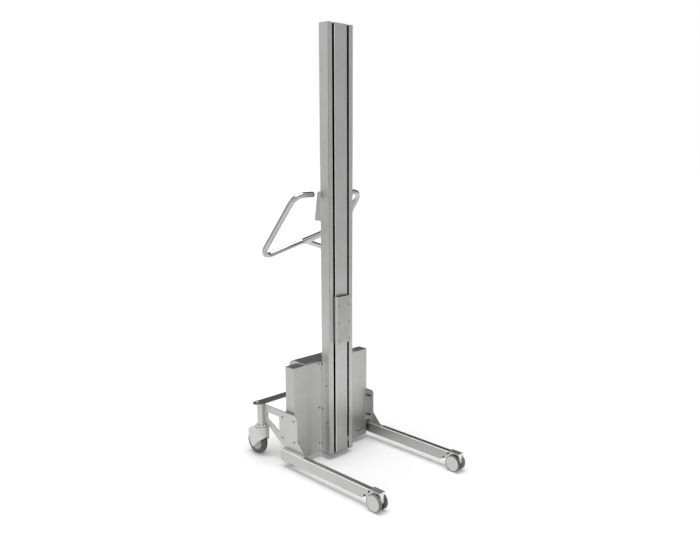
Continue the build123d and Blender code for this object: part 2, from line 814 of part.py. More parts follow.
# Front castor bodies: a web between the twin wheels, bolted in the leg end, with a cap plate and a front nose
web_top = leg_high - leg_wall
for side_name, side in sides:
    with BuildPart() as castor_body:
        with BuildSketch(seen_from_right(side * front_centre - castor_web / 2)):
            with BuildLine():
                Polyline((at(-castor_cap_front), leg_high), (at(-castor_cap_front), web_chin),
                         (behind_axle(web_tip[0]), web_tip[1]), (behind_axle(web_keel[0]), web_keel[1]),
                         (behind_axle(web_knee[0]), web_knee[1]), (behind_axle(web_tail), web_knee[1]),
                         (behind_axle(web_tail), web_top), (behind_axle(web_step), web_top),
                         (behind_axle(web_step), leg_high), close=True)
            make_face()
        extrude(amount=castor_web)
        with BuildSketch(level(leg_high)):
            with Locations((side * front_centre, at(-(castor_cap_front + castor_cap_rear) / 2))):
                Rectangle(castor_cap_width, castor_cap_front - castor_cap_rear)
        extrude(amount=castor_cap_thickness)
        with BuildSketch(seen_from_front(-castor_cap_front)):
            nose_x = side * front_centre
            with BuildLine():
                Polyline((nose_x - castor_cap_width / 2, leg_high), (nose_x + castor_cap_width / 2, leg_high),
                         (nose_x + castor_web / 2, castor_nose_low),
                         (nose_x - castor_web / 2, castor_nose_low), close=True)
            make_face()
        extrude(amount=-castor_nose_sheet)
        bore(side * front_centre - castor_web / 2, -front_axle_reach, front_wheel_radius,
             front_axle_radius + running_fit, castor_web)
        for reach, height in castor_bolt_places:
            bore(side * front_centre - castor_web / 2, -reach, height, bolt_radius + bolt_play, castor_web)
    save(castor_body, "front_castor_body_" + side_name)

# Front wheels: flat treads with light, slightly convex faces; the axle ends blind behind the outer face
wheel_offset = (front_wheel_gap + front_wheel_width) / 2
half_wheel = front_wheel_width / 2
bulge = front_face_bulge
axle_end = wheel_offset + half_wheel - front_axle_cover
with BuildPart() as front_axles:
    for _, side in sides:
        rod(side * front_centre - axle_end, -front_axle_reach, front_wheel_radius, front_axle_radius,
            2 * axle_end)
save(front_axles, "front_axles")

for side_name, side in sides:
    for place, outward in (("outer", side), ("inner", -side)):
        centre = (side * front_centre + outward * wheel_offset, at(-front_axle_reach), front_wheel_radius)
        blind = half_wheel - front_wheel_blind
        shoulder = half_wheel - bulge / 2
        bore_radius = front_axle_radius + running_fit
        with BuildPart() as front_wheel:
            with BuildSketch(Plane(origin=centre, x_dir=(outward, 0, 0), z_dir=(0, -outward, 0))):
                with BuildLine():
                    Line((blind, 0), (half_wheel, 0))
                    ThreePointArc((half_wheel, 0), (half_wheel - bulge / 4, front_face_radius / 2),
                                  (half_wheel - bulge, front_face_radius))
                    Polyline((half_wheel - bulge, front_face_radius),
                             (half_wheel - 2 * bulge, front_face_radius + front_face_groove),
                             (shoulder, front_face_radius + 2 * front_face_groove),
                             (shoulder, front_wheel_radius - front_tread_edge),
                             (half_wheel - front_tread_edge, front_wheel_radius),
                             (front_tread_edge - half_wheel, front_wheel_radius),
                             (-shoulder, front_wheel_radius - front_tread_edge),
                             (-shoulder, bore_radius),
                             (blind, bore_radius),
                             (blind, 0))
                make_face()
            revolve(axis=Axis(centre, (1, 0, 0)), revolution_arc=360)
        save(front_wheel, "front_wheel_" + place + "_" + side_name)

# Rear posts: round tubes between the castor collars and the cross plate
cross_low = cross_high - cross_thickness
for side_name, side in sides:
    with BuildPart() as rear_post:
        with BuildSketch(level(post_low)):
            with Locations((side * post_spread, at(post_depth))):
                Circle(post_radius)
                Circle(post_radius - post_wall, mode=Mode.SUBTRACT)
        extrude(amount=cross_low - post_low)
    save(rear_post, "rear_post_" + side_name)

# Cross plate over the two posts, with half-round ends
with BuildPart() as cross_plate:
    with BuildSketch(level(cross_low)):
        with Locations((0, at(cross_front + cross_width / 2))):
            SlotOverall(2 * cross_reach, cross_width)
    extrude(amount=cross_thickness)
    with BuildSketch(level(cross_low)):
        with Locations(*[(side * dome_spread, at(dome_depth)) for _, side in sides]):
            Circle(bolt_radius + bolt_play)
    extrude(amount=cross_thickness, mode=Mode.SUBTRACT)
save(cross_plate, "cross_plate")

# Castor collars: conical fitting under each post, with a plug up into the tube and the swivel stem below
collar_low = hood_high + swivel_gap
for side_name, side in sides:
    with BuildPart() as castor_collar:
        axis_foot = (side * post_spread, at(post_depth), 0)
        with BuildSketch(Plane(origin=axis_foot, x_dir=(1, 0, 0), z_dir=(0, -1, 0))):
            with BuildLine():
                stem_end = hood_high - stem_depth + swivel_gap
                plug_radius = post_radius - post_wall - running_fit
                Polyline((0, stem_end), (stem_radius, stem_end), (stem_radius, collar_low),
                         (collar_radius, collar_low), (collar_radius, collar_low + collar_rim),
                         (collar_radius - collar_bevel, collar_low + collar_rim + collar_bevel / 2),
                         (collar_neck, post_low), (plug_radius, post_low),
                         (plug_radius, post_low + collar_plug), (0, post_low + collar_plug), close=True)
            make_face()
        revolve(axis=Axis(axis_foot, (0, 0, 1)), revolution_arc=360)
    save(castor_collar, "castor_collar_" + side_name)

# Castor hoods: a cast shell, round about the swivel axis, that slopes down and tapers back along the wheel
axle_depth = post_depth + castor_trail


def behind_post(place):
    """Point of an outline seen from the right, given by distance behind the post's axis and height."""
    return (at(post_depth + place[0]), place[1])


for side_name, side in sides:
    hood_x = side * post_spread
    with BuildPart() as wheel_space:
        with BuildSketch(level(0)):
            with Locations((hood_x, at(post_depth))):
                Circle(hood_radius - hood_wall)
            with Locations((hood_x, at(post_depth + hood_tail + hood_top_edge))):
                Rectangle(2 * (hood_tail_half - hood_wall), 1)
            make_hull()
        extrude(amount=hood_high - hood_roof)
        with BuildSketch(seen_from_right(hood_x - 2 * hood_radius)):
            with Locations(behind_post((castor_trail, rear_wheel_radius))):
                Circle(rear_wheel_radius + hood_wheel_play)
            with Locations(behind_post((castor_trail - hood_tail, rear_wheel_radius))):
                Rectangle(2 * hood_tail, 2 * (hood_high - rear_wheel_radius))
        extrude(amount=4 * hood_radius, mode=Mode.INTERSECT)
    with BuildPart() as castor_hood:
        with BuildSketch(level(0)):
            with Locations((hood_x, at(post_depth))):
                Circle(hood_radius)
            with Locations((hood_x, at(post_depth + hood_tail))):
                Rectangle(2 * hood_tail_half, 1)
            make_hull()
        extrude(amount=hood_high)
        with BuildSketch(seen_from_right(hood_x - 2 * hood_radius)):
            with BuildLine():
                Polyline(behind_post((hood_crown, hood_high)), behind_post((hood_chin[0], hood_high)),
                         behind_post(hood_chin), behind_post(hood_lip), behind_post(hood_heel))
                ThreePointArc(behind_post(hood_heel), behind_post(hood_belly), behind_post(hood_tip))
                Polyline(behind_post(hood_tip), behind_post(hood_back), behind_post(hood_shoulder),
                         behind_post((hood_crown, hood_high)))
            make_face()
        extrude(amount=4 * hood_radius, mode=Mode.INTERSECT)
        upper = castor_hood.edges().filter_by(lambda e: e.center().Z > hood_back[1])
        rims = upper.filter_by(lambda e: abs(e.center().X - hood_x) > hood_wall)
        fronts = upper.filter_by(lambda e: e.center().Y < at(post_depth))
        fillet(rims + fronts, hood_top_edge)
        add(wheel_space.part, mode=Mode.SUBTRACT)
        for way in (-1, 1):
            inner_face = rear_wheel_width / 2 + wheel_side_gap
            rod(hood_x + way * inner_face, axle_depth, rear_wheel_radius, axle_boss_radius,
                way * (hood_tail_half + hood_boss_proud - inner_face))
            bore(hood_x + way * inner_face, axle_depth, rear_wheel_radius, rear_axle_radius + running_fit,
                 way * (hood_tail_half + hood_boss_proud - hood_boss_floor - inner_face))
        with BuildSketch(level(hood_high)):
            with Locations((hood_x, at(post_depth))):
                Circle(stem_radius + running_fit)
        extrude(amount=-stem_depth, mode=Mode.SUBTRACT)
    save(castor_hood, "rear_castor_hood_" + side_name)

# Rear wheels: one broad wheel with a round tread under each hood, on an axle held in the hood's bosses
half_rear = rear_wheel_width / 2
for side_name, side in sides:
    hood_x = side * post_spread
    axle_half = hood_tail_half + rear_axle_head
    with BuildPart() as rear_axle:
        rod(hood_x - axle_half, axle_depth, rear_wheel_radius, rear_axle_radius, 2 * axle_half)
    save(rear_axle, "rear_axle_" + side_name)
    centre = (hood_x, at(axle_depth), rear_wheel_radius)
    with BuildPart() as rear_wheel:
        with BuildSketch(Plane(origin=centre, x_dir=(1, 0, 0), z_dir=(0, -1, 0))):
            with BuildLine():
                bore_radius = rear_axle_radius + running_fit
                right = [(half_rear, bore_radius), (half_rear, rear_hub_radius),
                         (rear_web_half, rear_web_radii[0]), (rear_web_half, rear_web_radii[1]),
                         rear_rim, rear_tread_base, (half_rear, rear_tread_edge)]
                Polyline(*right)
                ThreePointArc((half_rear, rear_tread_edge), (0, rear_wheel_radius),
                              (-half_rear, rear_tread_edge))
                Polyline(*[(-x, r) for x, r in reversed(right)])
                Line((-half_rear, bore_radius), (half_rear, bore_radius))
            make_face()
        revolve(axis=Axis(centre, (1, 0, 0)), revolution_arc=360)
    save(rear_wheel, "rear_wheel_" + side_name)

# Push handle: one bent tube in a plane that leans forward at the top
tilt = math.radians(handle_tilt)
handle_plane = Plane(origin=(0, at(handle_depth), handle_height), x_dir=(1, 0, 0),
                     z_dir=(0, -math.cos(tilt), -math.sin(tilt)))
left_half = [(-grip_end[0], grip_end[1]), (-grip_corner[0], grip_corner[1]), (-grip_foot[0], grip_foot[1])]
right_half = [(-x, y) for x, y in reversed(left_half)]
with BuildLine(handle_plane) as handle_path:
    FilletPolyline(*left_half, (0, 0), *right_half,
                   radius=[grip_corner_bend, grip_foot_bend, grip_centre_bend,
                           grip_foot_bend, grip_corner_bend])
handle_start = Plane(origin=handle_path.line @ 0, z_dir=handle_path.line % 0)
with BuildPart() as handle_core:
    with BuildSketch(handle_start):
        Circle(handle_radius)
    sweep(path=handle_path.line)
with BuildPart() as handle_tube:
    with BuildSketch(handle_start):
        Circle(handle_radius)
        Circle(handle_radius - handle_wall, mode=Mode.SUBTRACT)
    sweep(path=handle_path.line)
save(handle_tube, "handle_tube")

# End caps: dark plugs that close the two grips
with BuildPart() as handle_caps:
    for place in (0, 1):
        inward = handle_path.line % place
        outward = -inward if place == 0 else inward
        end_plane = Plane(origin=handle_path.line @ place, z_dir=outward)
        with BuildSketch(end_plane):
            Circle(handle_radius)
        extrude(amount=end_cap_length)
        with BuildSketch(end_plane):
            Circle(handle_radius - handle_wall)
        extrude(amount=-end_cap_plug)
save(handle_caps, "handle_caps")

# Stub tube that falls from the mast back to the middle of the handle, its end shaped to the bent tube
rise = math.radians(stub_rise)
stub_seat = Plane(origin=handle_path.line @ 0.5, x_dir=(1, 0, 0), z_dir=(0, -math.cos(rise), math.sin(rise)))
with BuildPart() as handle_stub:
    with BuildSketch(stub_seat):
        Circle(stub_radius)
        Circle(stub_radius - stub_wall, mode=Mode.SUBTRACT)
    extrude(amount=handle_depth)
    with BuildSketch(seen_from_front(mast_depth)):
        Rectangle(mast_width, 2 * mast_top)
    extrude(amount=handle_depth, mode=Mode.SUBTRACT)
    add(handle_core.part, mode=Mode.SUBTRACT)
save(handle_stub, "handle_stub")

# Control box: a wedge housing on the mast back, its keypad face leaning back at the foot
face_low = (at(box_back_low), box_low + box_lip)
face_high = (at(box_back_high), box_slope_low)
face_tilt = math.atan2(box_back_low - box_back_high, box_slope_low - box_low - box_lip)
face_centre = ((face_low[0] + face_high[0]) / 2, (face_low[1] + face_high[1]) / 2)
keypad = Plane(origin=(0, face_centre[0], face_centre[1]), x_dir=(-1, 0, 0),
               z_dir=(0, math.cos(face_tilt), math.sin(face_tilt)))
button_places = {"up_button": up_place, "down_button": down_place}
with BuildPart() as control_box:
    with BuildSketch(seen_from_right(-box_half_width)):
        with BuildLine():
            Polyline((at(mast_depth), box_low), (at(box_back_low), box_low), face_low, face_high,
                     (at(box_slope_front), box_high), (at(mast_depth), box_high), close=True)
        make_face()
    extrude(amount=2 * box_half_width)
    fillet(control_box.edges().filter_by(Axis.X).sort_by(Axis.Y)[-3:], box_edge)
    for height in button_places.values():
        with BuildSketch(keypad):
            with Locations((0, height)):
                Circle(button_radius + running_fit)
        extrude(amount=-well_depth, mode=Mode.SUBTRACT)
    with BuildSketch(keypad):
        with Locations((0, stop_place)):
            Circle(stop_stem_radius + running_fit)
    extrude(amount=-well_depth, mode=Mode.SUBTRACT)
save(control_box, "control_box")

# Up and down buttons, standing a little out of their wells
for name, height in button_places.items():
    with BuildPart() as button:
        with BuildSketch(keypad.offset(button_proud)):
            with Locations((0, height)):
                Circle(button_radius)
        extrude(amount=-button_length)
        fillet(button.faces().sort_by(Axis.Y)[-1].edges(), button_edge)
    save(button, name)

# Emergency stop: a mushroom head on a stem
with BuildPart() as emergency_stop:
    with BuildSketch(keypad.offset(stop_travel + 1)):
        with Locations((0, stop_place)):
            Circle(stop_radius)
    extrude(amount=stop_proud - stop_travel - 1)
    fillet(emergency_stop.faces().sort_by(Axis.Y)[-1].edges(), stop_edge)
    with BuildSketch(keypad.offset(stop_travel + 1)):
        with Locations((0, stop_place)):
            Circle(stop_stem_radius)
    extrude(amount=-(stop_travel + 1 + button_length))
save(emergency_stop, "emergency_stop")

# Small screws in the mast sides and the cover front
with BuildPart() as housing_screws:
    for _, side in sides:
        for depth, height in mast_screw_places:
            rod(side * mast_width / 2, depth, height, screw_head_radius, side * screw_head_height)
            rod(side * mast_width / 2, depth, height, screw_radius, -side * mast_wall)
        for height in cover_screw_heights:
            bar_back(side * cover_screw_spread, cover_front - screw_head_height, height, screw_head_radius,
                     screw_head_height)
            bar_back(side * cover_screw_spread, cover_front, height, screw_radius, cover_wall + mount_wall)
        for height in bolt_rows:
            screw_x = side * (leg_inner - angle_leg / 2)
            bar_back(screw_x, cover_front - angle_sheet - screw_head_height, height, screw_head_radius,
                     screw_head_height)
            bar_back(screw_x, cover_front - angle_sheet, height, screw_radius, angle_sheet + cover_wall)
save(housing_screws, "housing_screws")

# Bolts: dome heads outside, nuts inside, through the side plates and angles and through the leg ends
with BuildPart() as frame_bolts:
    for _, side in sides:
        outer_face = side * (leg_inner + plate_thickness)
        nut_face = side * (leg_inner - angle_sheet)
        for depth in bolt_depths:
            for height in bolt_rows:
                rod(outer_face, depth, height, bolt_head_radius, side * bolt_head_height)
                rod(outer_face, depth, height, bolt_radius, -side * (plate_thickness + angle_sheet))
                rod(nut_face, depth, height, nut_radius, -side * nut_height)
    with Locations(*[(side * dome_spread, at(dome_depth), cross_high) for _, side in sides]):
        Cylinder(dome_radius, dome_height, align=(Align.CENTER, Align.CENTER, Align.MIN))
        Cylinder(bolt_radius, cross_thickness, align=(Align.CENTER, Align.CENTER, Align.MAX))
save(frame_bolts, "frame_bolts")

with BuildPart() as castor_body_bolts:
    for _, side in sides:
        for reach, height in castor_bolt_places:
            rod(side * leg_inner, -reach, height, bolt_head_radius - 1, -side * bolt_head_height)
            rod(side * leg_inner, -reach, height, bolt_radius, side * leg_width)
            rod(side * (leg_inner + leg_width), -reach, height, bolt_head_radius - 1, side * bolt_head_height)
save(castor_body_bolts, "castor_body_bolts")
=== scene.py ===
import math

import bmesh
import bpy
from mathutils import Matrix, Vector


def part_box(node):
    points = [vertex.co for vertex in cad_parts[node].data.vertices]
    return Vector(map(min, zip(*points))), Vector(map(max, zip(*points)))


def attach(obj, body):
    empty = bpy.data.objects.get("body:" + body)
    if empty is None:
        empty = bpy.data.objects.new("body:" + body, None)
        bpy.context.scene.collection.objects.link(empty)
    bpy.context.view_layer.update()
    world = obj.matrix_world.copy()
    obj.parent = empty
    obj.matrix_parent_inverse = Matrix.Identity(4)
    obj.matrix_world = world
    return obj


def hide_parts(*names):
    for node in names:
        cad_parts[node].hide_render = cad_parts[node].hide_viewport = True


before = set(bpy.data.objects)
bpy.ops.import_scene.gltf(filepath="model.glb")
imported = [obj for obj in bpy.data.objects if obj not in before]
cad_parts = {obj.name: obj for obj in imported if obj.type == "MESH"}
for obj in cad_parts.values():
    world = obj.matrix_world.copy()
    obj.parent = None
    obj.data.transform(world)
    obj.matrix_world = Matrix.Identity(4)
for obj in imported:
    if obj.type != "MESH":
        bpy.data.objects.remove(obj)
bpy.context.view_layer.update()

# Lifting trolley: looks for the CAD nodes, small hardware in mesh code, a plain studio and the camera.
# Lengths are in metres, colours are linear, +Z is up and the front of the trolley faces -Y.
MM = 0.001
SIDES = (("left", -1), ("right", 1))

# Places on the CAD model
MAST_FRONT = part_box("mast_profile")[0][1]
MAST_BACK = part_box("mast_profile")[1][1]
MAST_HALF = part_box("mast_profile")[1][0]
STRIP_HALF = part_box("mast_front_strip")[1][0]
COVER_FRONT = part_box("front_cover")[0][1]
COVER_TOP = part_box("front_cover")[1][2]
CARRIAGE_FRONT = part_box("carriage_plate")[0][1]
CARRIAGE_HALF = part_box("carriage_plate")[1][0]
PLATE_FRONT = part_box("side_plate_left")[0][1]
CROSS_PLATE_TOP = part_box("cross_plate")[1][2]
LEG_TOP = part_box("leg_left")[1][2]
LEG_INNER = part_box("leg_right")[0][0]
NOSE_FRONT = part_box("front_castor_body_left")[0][1]


class Tree:
    """Node tree with short calls for the nodes that the looks are built of."""

    def __init__(self, node_tree):
        self.nodes = node_tree.nodes
        self.links = node_tree.links

    def feed(self, socket, value):
        """Link value to a socket where it is a socket too, or else set the socket to it."""
        if isinstance(value, bpy.types.NodeSocket):
            self.links.new(value, socket)
        else:
            socket.default_value = value

    def maths(self, operation, first, second):
        node = self.nodes.new("ShaderNodeMath")
        node.operation = operation
        self.feed(node.inputs[0], first)
        self.feed(node.inputs[1], second)
        return node.outputs[0]

    def remap(self, value, low, high, to_low=0, to_high=1):
        """Stretch low..high to to_low..to_high, held at both ends."""
        node = self.nodes.new("ShaderNodeMapRange")
        node.clamp = True
        for key, number in (("From Min", low), ("From Max", high), ("To Min", to_low), ("To Max", to_high)):
            node.inputs[key].default_value = number
        self.links.new(value, node.inputs["Value"])
        return node.outputs["Result"]

    def mix(self, share, first, second):
        """Colour that goes from first to second as share goes from 0 to 1."""
        node = self.nodes.new("ShaderNodeMix")
        node.data_type = "RGBA"
        for key, colour in (("A", first), ("B", second)):
            socket = [s for s in node.inputs if s.name == key and s.type == "RGBA"][0]
            self.feed(socket, (*colour, 1) if isinstance(colour, tuple) else colour)
        self.links.new(share, node.inputs["Factor"])
        return [s for s in node.outputs if s.type == "RGBA"][0]

    def split(self, vector):
        node = self.nodes.new("ShaderNodeSeparateXYZ")
        self.links.new(vector, node.inputs["Vector"])
        return node.outputs["X"], node.outputs["Y"], node.outputs["Z"]

    def length(self, vector):
        node = self.nodes.new("ShaderNodeVectorMath")
        node.operation = "LENGTH"
        self.links.new(vector, node.inputs[0])
        return node.outputs["Value"]

    def coords(self, scale=(1, 1, 1), origin=(0, 0, 0)):
        """Object coordinates measured from origin and stretched by scale."""
        coords = self.nodes.new("ShaderNodeTexCoord")
        mapping = self.nodes.new("ShaderNodeMapping")
        mapping.vector_type = "POINT"
        mapping.inputs["Location"].default_value = [-o * s for o, s in zip(origin, scale)]
        mapping.inputs["Scale"].default_value = scale
        self.links.new(coords.outputs["Object"], mapping.inputs["Vector"])
        return mapping.outputs["Vector"]

    def noise(self, vector, kind):
        """Noise of a kind that gives its scale, detail and roughness."""
        node = self.nodes.new("ShaderNodeTexNoise")
        for key, number in zip(("Scale", "Detail", "Roughness"), kind):
            node.inputs[key].default_value = number
        self.links.new(vector, node.inputs["Vector"])
        return node.outputs["Fac"]

    def bump(self, shader, height, kind):
        """Bump of a kind that gives its strength and distance."""
        node = self.nodes.new("ShaderNodeBump")
        for key, number in zip(("Strength", "Distance"), kind):
            node.inputs[key].default_value = number
        self.links.new(height, node.inputs["Height"])
        self.links.new(node.outputs["Normal"], shader.inputs["Normal"])

    def inside(self, place, box):
        """1 inside a box, 0 outside it.

        The box is its ranges of the distance from the plane X = 0, of Y and of Z. None is an open end.
        """
        x, y, z = self.split(place)
        result = 1.0
        for value, (start, end) in zip((self.maths("ABSOLUTE", x, 0), y, z), box):
            if start is not None:
                result = self.maths("MULTIPLY", result, self.maths("GREATER_THAN", value, start))
            if end is not None:
                result = self.maths("MULTIPLY", result, self.maths("LESS_THAN", value, end))
        return result


def new_look(name):
    material = bpy.data.materials.new(name)
    material.use_nodes = True
    return material, Tree(material.node_tree), material.node_tree.nodes["Principled BSDF"]


def shaded(colour, share):
    return tuple(min(1, c * share) for c in colour)


def middle(low, high):
    return [(a + b) / 2 for a, b in zip(low, high)]


# Noises (scale, detail, roughness), the stretches of them that are used, and bumps (strength, distance)
FINE_GRAIN = (900, 2, 0.5)
BROAD_GRAIN = (160, 3, 0.6)
STEEL_CLOUDS = (7, 3, 0.6)
PAINT_SKIN = (1400, 2, 0.5)
PAINT_CLOUDS = (30, 3, 0.6)
SCUFFS = (60, 4, 0.65)
GRAIN_RANGE = (0.3, 0.7)
STEEL_RANGE = (0.5, 1.0)
PAINT_RANGE = (0.35, 0.65)
TREAD_RANGE = (0.45, 0.7)
FACE_RANGE = (0.4, 0.6)
STEEL_BUMP = (0.12, 0.2 * MM)
PAINT_BUMP = (0.15, 0.3 * MM)
WHEEL_BUMP = (0.2, 0.3 * MM)

# Stretches of the noise that draw the grain lines along one axis
GRAIN_UP = (1, 1, 0.02)
GRAIN_BACK = (1, 0.02, 1)
GRAIN_ACROSS = (0.02, 1, 1)
GRAIN_NONE = (1, 1, 1)

# Steel
STEEL_DARK = 0.93
STEEL_LIGHT = 1.05
BROAD_SHARE = 0.5
STEEL_SPREAD = 0.05
# Painted shade near the floor: its colour, the heights over which it fades out, and the share of the own
# colour kept at the bottom
LOW_SHADE_COLOUR = (0.16, 0.16, 0.155)
LOW_SHADE_FROM = 0.02
LOW_SHADE_TO = 0.32
LOW_SHADE_KEEP = 0.40
# Painted light in the inner corners of mast and cover, standing in for the sheets' reflections of each other
CORNER_LIGHT_COLOUR = (0.75, 0.75, 0.745)
CORNER_LIGHT_START = 0.2
CORNER_LIGHT_END = 1.1
# Painted shade, nearly black and dull, inside the mast, on the strip's sides and inside the carriage
SLOT_SHADE_COLOUR = (0.006, 0.006, 0.006)
SLOT_SHADE_ROUGHNESS = 0.8
ZONE_BLUE = 0.98

# Paint, plastic and rubber
PAINT_DARK = 0.93
PAINT_SMOOTHER = 0.05
PAINT_ROUGHER = 0.06
RIM_BLUR = 0.4 * MM
TREAD_WORN = 1.5
FACE_DARK = 0.92
FACE_ROUGHNESS = 0.45
TREAD_ROUGHNESS = 0.72


def corner_light_share(tree, place):
    """1 in the inner corners of mast and cover, where light is painted for the two sheets' reflections of each
    other, 0 away from them.
    """
    x, y, z = tree.split(place)
    sideways = tree.maths("SUBTRACT", tree.maths("ABSOLUTE", x, 0), MAST_HALF)
    forward = tree.maths("SUBTRACT", COVER_FRONT, y)
    reach = COVER_FRONT - MAST_FRONT
    away = tree.maths("MAXIMUM", sideways, forward)
    share = tree.remap(away, CORNER_LIGHT_START * reach, CORNER_LIGHT_END * reach, 1, 0)
    return tree.maths("MULTIPLY", share, tree.maths("LESS_THAN", z, COVER_TOP))


def satin_steel(name, colour, rough, grain=GRAIN_NONE, slots=None, low_shaded=False, corner_lit=False, zones=()):
    """Satin stainless steel with grain lines along one axis.

    It has painted shade, nearly black and dull, inside the box slots, painted shade that darkens it towards
    the floor where dusty, and painted light in the inner corners of mast and cover where cornered. Each of
    zones is a box, its tone, and whether it is matt, not metallic.
    """
    material, tree, shader = new_look(name)
    place = tree.coords()
    fine = tree.noise(tree.coords(grain), FINE_GRAIN)
    broad = tree.noise(tree.coords(grain), BROAD_GRAIN)
    cloud = tree.noise(place, STEEL_CLOUDS)
    tone = tree.remap(tree.maths("ADD", cloud, tree.maths("MULTIPLY", broad, BROAD_SHARE)), *STEEL_RANGE)
    surface = tree.mix(tone, shaded(colour, STEEL_DARK), shaded(colour, STEEL_LIGHT))
    # Painted shade that darkens the sheet towards the floor
    if low_shaded:
        lit_share = tree.remap(tree.split(place)[2], LOW_SHADE_FROM, LOW_SHADE_TO, LOW_SHADE_KEEP, 1)
        surface = tree.mix(lit_share, LOW_SHADE_COLOUR, surface)
    # Painted light in the inner corners of mast and cover
    if corner_lit:
        surface = tree.mix(corner_light_share(tree, place), surface, CORNER_LIGHT_COLOUR)
    roughness = tree.remap(fine, *GRAIN_RANGE, rough - STEEL_SPREAD, rough + STEEL_SPREAD)
    # Painted shade, nearly black and dull, inside the box
    if slots:
        share = tree.inside(place, slots)
        surface = tree.mix(share, surface, SLOT_SHADE_COLOUR)
        roughness = tree.maths("MAXIMUM", roughness, tree.maths("MULTIPLY", share, SLOT_SHADE_ROUGHNESS))
    metal = 1.0
    for box, zone_tone, matt in zones:
        share = tree.inside(place, box)
        surface = tree.mix(share, surface, (zone_tone, zone_tone, zone_tone * ZONE_BLUE))
        if matt:
            metal = tree.maths("SUBTRACT", metal, share)
    tree.feed(shader.inputs["Metallic"], metal)
    tree.feed(shader.inputs["Base Color"], surface)
    tree.feed(shader.inputs["Roughness"], roughness)
    tree.bump(shader, fine, STEEL_BUMP)
    return material


def plain_plastic(name, colour, rough):
    """Moulded plastic or paint with a fine orange-peel skin and a slight change of tone."""
    material, tree, shader = new_look(name)
    skin = tree.noise(tree.coords(), PAINT_SKIN)
    cloud = tree.remap(tree.noise(tree.coords(), PAINT_CLOUDS), *PAINT_RANGE)
    roughness = tree.remap(skin, *GRAIN_RANGE, rough - PAINT_SMOOTHER, rough + PAINT_ROUGHER)
    tree.feed(shader.inputs["Base Color"], tree.mix(cloud, shaded(colour, PAINT_DARK), colour))
    tree.feed(shader.inputs["Roughness"], roughness)
    tree.bump(shader, skin, PAINT_BUMP)
    return material


def wheel_look(node, rim_radius, tread, face, faced=0):
    """Wheel on an axle along X: light face inside rim_radius, rubber elsewhere.

    The face is on the side that the sign faced names, or on both sides where it is 0.
    """
    material, tree, shader = new_look(node + "_look")
    axle = middle(*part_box(node))
    place = tree.coords(origin=axle)
    from_axle = tree.length(tree.coords((0, 1, 1), axle))
    outside = tree.remap(from_axle, rim_radius - RIM_BLUR, rim_radius + RIM_BLUR)
    if faced:
        far_side = tree.maths("LESS_THAN", tree.maths("MULTIPLY", tree.split(place)[0], faced), 0)
        outside = tree.maths("MAXIMUM", outside, far_side)
    scuff = tree.noise(place, SCUFFS)
    rubber = tree.mix(tree.remap(scuff, *TREAD_RANGE), tread, shaded(tread, TREAD_WORN))
    plastic = tree.mix(tree.remap(scuff, *FACE_RANGE), shaded(face, FACE_DARK), face)
    tree.feed(shader.inputs["Base Color"], tree.mix(outside, plastic, rubber))
    tree.feed(shader.inputs["Roughness"], tree.remap(outside, 0, 1, FACE_ROUGHNESS, TREAD_ROUGHNESS))
    tree.bump(shader, tree.noise(place, FINE_GRAIN), WHEEL_BUMP)
    return material


def dress(material, *names):
    """Give CAD nodes a material through their own slots."""
    for name in names:
        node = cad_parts[name]
        if not node.material_slots:
            node.data.materials.append(material)
        for slot in node.material_slots:
            slot.material = material


# Boxes of the sheets where light and shade are painted, and of the castor noses' matt front. SKIN and
# SIDE_SKIN are the depths of an outer face.
OPEN = (None, None)
SKIN = 0.15 * MM
SIDE_SKIN = 0.4 * MM
MAST_WALL = 3.4 * MM
MAST_BACK_WALL = 2 * MM
SLOTS_FROM = 0.03
SLOTS_TO = 1.906
MAST_EDGE = 1.6 * MM
STRIP_EDGE = 2.0 * MM
PLATE_WALL = 2.5 * MM
LEG_FLAT = 0.5 * MM
LEG_BEND = 3.2 * MM
NOSE_DEPTH = 3.2 * MM
NOSE_TOP = 0.0825
# Painted highlight on the mast's front edges and along the strip's edges
EDGE_HIGHLIGHT_TONE = 0.90
# Painted light on the carriage's side faces
CARRIAGE_SIDE_LIGHT_TONE = 0.75
# Painted highlight on the legs' rounded top edges
LEG_BEND_HIGHLIGHT_TONE = 1.0
# Painted reflection of the side plates on the legs' tops beside them
LEG_REAR_REFLECTION_TONE = 0.55
# Painted shade on the legs' inner sides
LEG_INNER_SHADE_TONE = 0.45
NOSE_TONE = 1.0

# Painted shade inside the mast
mast_inside_shade = ((None, MAST_HALF - MAST_WALL), (MAST_FRONT + SKIN, MAST_BACK - MAST_BACK_WALL),
              (SLOTS_FROM, SLOTS_TO))
# Painted highlight on the mast's front edges
mast_edge_highlight = ((MAST_HALF - MAST_EDGE, None), (None, MAST_FRONT + MAST_EDGE), OPEN)
# Painted shade on the strip's sides inside the slots
strip_inside_shade = (OPEN, (MAST_FRONT + SKIN, None), OPEN)
# Painted highlight along the strip's edges
strip_edge_highlight = ((STRIP_HALF - STRIP_EDGE, None), (None, MAST_FRONT + SKIN), OPEN)
# Painted shade inside the carriage's channel
carriage_inside_shade = ((None, CARRIAGE_HALF - PLATE_WALL), (CARRIAGE_FRONT + SKIN, None), OPEN)
# Painted light on the carriage's side faces
carriage_side_light = ((CARRIAGE_HALF - SIDE_SKIN, None), (CARRIAGE_FRONT + SKIN, MAST_FRONT), OPEN)
# Painted highlight on the legs' rounded top edges
leg_bend_highlight = (OPEN, OPEN, (LEG_TOP - LEG_BEND, LEG_TOP - LEG_FLAT))
# Painted reflection of the side plates on the legs' tops beside them
leg_rear_top_reflection = (OPEN, (PLATE_FRONT, None), (LEG_TOP - LEG_FLAT, None))
# Painted shade on the legs' inner sides
leg_inner_shade = ((None, LEG_INNER + SIDE_SKIN), OPEN, (None, LEG_TOP - LEG_BEND))
nose = (OPEN, (NOSE_FRONT - SKIN, NOSE_FRONT + NOSE_DEPTH), (None, NOSE_TOP))

